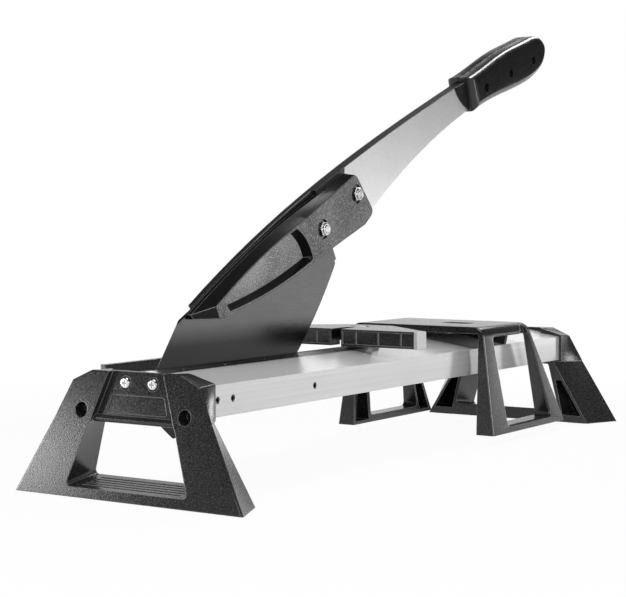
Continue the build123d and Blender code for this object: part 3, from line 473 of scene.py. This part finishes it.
# The cover's pale face and black walls are painted light and painted shade.
finish_of["blade_cover"] = cover_moulding
for name, solid in nodes.items():
    solid.data.materials.clear()
    solid.data.materials.append(finish_of[name].material)
print("finished solids:", len(finish_of))

# %% [markdown]
# ## Copies of solids
#
# Two pieces are finer on the real cutter than as solids: the grip, with its joint and its crowned
# sides, and the underside of the plank support. Each could be modelled afresh, but a copy keeps the
# solid's exact outline. A solid arrives as loose triangles, so its copy is merged first. In the end
# every edge is shaded smooth, apart from real creases.

# %% Copies of solids
merge_distance = 1e-6
crease = radians(38.0)


def merged(node):
    copy = bmesh.new()
    copy.from_mesh(nodes[node].data)
    bmesh.ops.remove_doubles(copy, verts=copy.verts, dist=merge_distance)
    print(node, "merged corners:", len(copy.verts))
    return copy


def put_in_place_of(node, copy, name, body):
    for face in copy.faces:
        face.smooth = True
    for edge in copy.edges:
        edge.smooth = edge.calc_face_angle(0.0) < crease
    mesh = bpy.data.meshes.new(name)
    copy.to_mesh(mesh)
    copy.free()
    mesh.materials.append(finish_of[node].material)
    piece = put_in_scene(name, mesh)
    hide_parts(node)
    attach(piece, body)
    print(name, "faces:", len(mesh.polygons))


# %% [markdown]
# ## The grip's shells
#
# The grip is two glossy shells around the lever's end, and a fine groove shows where they meet. It
# could be cut with a thin tool, but the moulded edge of each shell is simply rounded, so a bevel
# along the joint makes the same groove. Each side is also crowned a little, to fill the hand. The
# solid's side is flat, so cuts along and across the grip give it corners to lift, most in the middle
# and not at all at the rim. The row of screws tells which way the grip runs.

# %% Which way the grip runs
screw_head = 0.0062
screws_low, screws_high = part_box("handle_screws")
grip_run = screws_high - screws_low
grip_along = Vector((grip_run.x - screw_head, 0.0, grip_run.z - screw_head)).normalized()
grip_across = Vector((-grip_along.z, 0.0, grip_along.x))
grip_middle = (screws_low + screws_high) / 2
print("grip rises", round(grip_along.z, 3))

# %% A crowned side
crown = 0.0016
crown_depth = 0.008
across_steps, along_steps = 6, 8
on_face = 0.0002


def crown_side(shell, outer):
    """Lifts the flat side of a shell into a shallow crown."""
    places = [corner.co - grip_middle for corner in shell.verts]
    half_length = max(abs(place.dot(grip_along)) for place in places)
    half_width = max(abs(place.dot(grip_across)) for place in places)
    cuts = []
    for way, half, steps in ((grip_across, half_width, across_steps), (grip_along, half_length, along_steps)):
        cuts += [(way, half * step / steps) for step in range(1 - steps, steps)]
    for direction, offset in cuts:
        side = [face for face in shell.faces if all(abs(c.co.y - outer) < on_face for c in face.verts)]
        around = {part for face in side for part in (*face.edges, *face.verts)}
        bmesh.ops.bisect_plane(
            shell, geom=[*side, *around], dist=merge_distance,
            plane_co=grip_middle + direction * offset, plane_no=direction,
        )
    outwards = 1.0 if outer > grip_middle.y else -1.0
    # A higher power keeps the crown full for longer along the grip than across it.
    for corner in shell.verts:
        place = corner.co - grip_middle
        near_side = max(0.0, 1.0 - abs(corner.co.y - outer) / crown_depth) ** 2
        bow_across = max(0.0, 1.0 - (place.dot(grip_across) / half_width) ** 2)
        bow_along = max(0.0, 1.0 - (place.dot(grip_along) / half_length) ** 4)
        corner.co.y += outwards * crown * near_side * bow_across * bow_along
    print("crown cuts:", len(cuts))


# %% The grip's shells
groove = 0.0009
steep = 0.5


def grip_shell(node, name):
    shell = merged(node)
    low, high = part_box(node)
    middle = (low + high) / 2
    joint, outer = (high.y, low.y) if node == "handle_front_shell" else (low.y, high.y)
    crown_side(shell, outer)
    rim = []
    for edge in shell.edges:
        on_joint = all(abs(corner.co.y - joint) < on_face for corner in edge.verts)
        walls = [face for face in edge.link_faces if abs(face.normal.y) < steep]
        centre = (edge.verts[0].co + edge.verts[1].co) / 2
        if on_joint and len(walls) == 1 and walls[0].normal.dot(centre - middle) > 0:
            rim.append(edge)
    bmesh.ops.bevel(
        shell, geom=rim, offset=groove, offset_type="OFFSET",
        affect="EDGES", segments=2, profile=0.5, material=-1,
    )
    print("groove edges:", len(rim))
    put_in_place_of(node, shell, name, "lever")


grip_shell("handle_front_shell", "front_grip_shell")
grip_shell("handle_back_shell", "back_grip_shell")

# %% [markdown]
# ## The plank support
#
# The support sits on the beam by ribs under its top. Seen under its front edge, the first rib is only
# a low stiffener, and the beam's bright top shows below it. The solid's rib reaches down to the beam.
# It could be cut away, but raising its lower corners towards the plate keeps the mesh closed.

# %% The plank support
rib_start, rib_end = 0.023, 0.0285
rib_half_width = 0.068
rib_reach = 0.02
rib_depth = 0.0012
plate_under = 0.0072
support_low, support_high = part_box("plank_support")
underside = support_high.z - plate_under
support_copy = merged("plank_support")
raised = 0
for corner in support_copy.verts:
    inside = rib_start < corner.co.x - support_low.x < rib_end and abs(corner.co.y) < rib_half_width
    if inside and underside - rib_reach < corner.co.z < underside - rib_depth:
        corner.co.z = underside - rib_depth
        raised += 1
print("raised corners:", raised)
put_in_place_of("plank_support", support_copy, "plank_support_top", "support")

# %% [markdown]
# ## Floor and backdrop
#
# The cutter stands on a white sheet in front of a white wall. A sheet lit to pure white would need
# light that burns out the cutter, so it is white of itself to the camera and in reflections. Near the
# cutter a small share of it is still lit, and keeps a soft shadow. Light Path tells the shader which
# ray is asking.

# %% Floor
floor_half = 12.0
floor_mesh = bmesh.new()
bmesh.ops.create_grid(floor_mesh, x_segments=1, y_segments=1, size=floor_half)
floor_data = bpy.data.meshes.new("floor")
floor_mesh.to_mesh(floor_data)
floor_mesh.free()
floor = put_in_scene("floor", floor_data)
print("floor:", 2 * floor_half, "m across")

# %% White sheet
shadow_near, shadow_far = 0.45, 0.9
white_near = 0.95
sheet = Finish("white_sheet")
sheet.set(Base_Color=grey(0.7), Roughness=0.9)
seen = sheet.node("ShaderNodeLightPath", output="Is Camera Ray")
mirrored = sheet.node("ShaderNodeLightPath", output="Is Glossy Ray")
through = sheet.node("ShaderNodeLightPath", output="Is Transmission Ray")
from_middle = sheet.node("ShaderNodeVectorMath", {"operation": "LENGTH"}, {0: sheet.place}, output="Value")
white_share = sheet.range(from_middle, shadow_near, shadow_far, white_near, 1.0)
glow = sheet.node("ShaderNodeEmission", sockets={"Color": grey(1.0), "Strength": 1.0})
lit = Value(sheet, sheet.shader.outputs[0])
asked = (seen + mirrored + through) * white_share
blend = sheet.node("ShaderNodeMixShader", sockets={0: asked, 1: lit, 2: glow})
sheet.feed(sheet.tree.nodes["Material Output"].inputs["Surface"], blend)
floor_data.materials.append(sheet.material)
sheet.report()

# %% [markdown]
# ## Room
#
# A black product needs dark surroundings with a few bright shapes in them. A picture of a studio
# could light it, but a few nodes are easier to steer. The wall behind the cutter is white up to about
# 17 degrees above the horizon and dark from about 44, so level faces seen at a flat angle mirror
# white, and the lever's narrow top stays dark. Sideways it fades between about 28 and 40 degrees from
# the camera's heading. The rest of the room is dim, and the camera itself sees white all round.

# %% Room
white_to, dark_from = 0.3, 0.7
wall_gone, wall_full = 0.76, 0.88
dim = 0.06
world = bpy.data.worlds.new("room")
bpy.context.scene.world = world
world.use_nodes = True
room = Recipe(world.node_tree)
direction = room.node("ShaderNodeTexCoord", output="Generated")
height = room.along(direction, upwards)
ahead = room.along(direction, heading)
low_down = room.range(height, white_to, dark_from, 1.0, 0.0)
wall = low_down * room.range(ahead, wall_gone, wall_full, 0.0, 1.0)
for_camera = room.node("ShaderNodeLightPath", output="Is Camera Ray")
level = for_camera + (1 - for_camera) * (wall * (1.0 - dim) + dim)
room.feed(room.tree.nodes["Background"].inputs["Strength"], level)
room.feed(room.tree.nodes["Background"].inputs["Color"], grey(1.0))
print("room nodes:", len(room.tree.nodes))

# %% [markdown]
# ## Lamps
#
# Bare bulbs would leave hard dots on glossy black, so each lamp is a soft box, and the camera doesn't
# see it. One on the camera's side and a large one along the beam's long side light what faces them,
# and one above lights what is level. The lever and the blade mirror a low card past the far foot. A
# strip high beyond the far end draws the bright line along the grip. The last two are weak and
# narrow: a low card beyond the far end for the faces that look that way, and a small box close to the
# floor that lightens the near foot's left leg.


# %% Lamps
def softbox(name, place, aim, size, power, spread=180.0):
    lamp = bpy.data.lights.new(name, "AREA")
    lamp.shape = "RECTANGLE"
    lamp.size, lamp.size_y = size
    lamp.energy = power
    lamp.spread = radians(spread)
    box = put_in_scene(name, lamp)
    box.location = place
    box.rotation_euler = (Vector(aim) - Vector(place)).to_track_quat("-Z", "Y").to_euler()
    box.visible_camera = False
    print(name, power, "W")


softbox("camera_box", place=(-1.9, -1.5, 0.5), aim=(0.0, 0.0, 0.15), size=(1.2, 0.6), power=10.0)
softbox("side_box", place=(0.1, -2.2, 0.45), aim=(0.0, 0.0, 0.15), size=(1.6, 0.6), power=32.0)
softbox("top_box", place=(-0.9, -0.15, 1.5), aim=(0.0, 0.0, 0.1), size=(0.8, 0.8), power=18.0)
softbox("side_card", place=(1.05, -0.78, 0.16), aim=(0.0, 0.0, 0.18), size=(0.9, 0.28), power=0.76)
softbox("strip_box", place=(1.2, 0.1, 1.6), aim=(0.2, 0.0, 0.4), size=(0.3, 1.3), power=14.0)
softbox(
    "edge_card", place=(1.7, -0.3, 0.1), aim=(-0.35, -0.09, 0.05), size=(0.5, 0.4),
    power=0.08, spread=24.0,
)
softbox(
    "left_box", place=(-0.68, 0.47, 0.07), aim=(-0.47, 0.12, 0.04), size=(0.2, 0.12),
    power=0.115, spread=44.0,
)

# %% [markdown]
# ## Finish
#
# The Standard view shows a colour about as it is written, where a film-like one would grey the white
# floor.

# %% Finish
bpy.context.scene.view_settings.view_transform = "Standard"
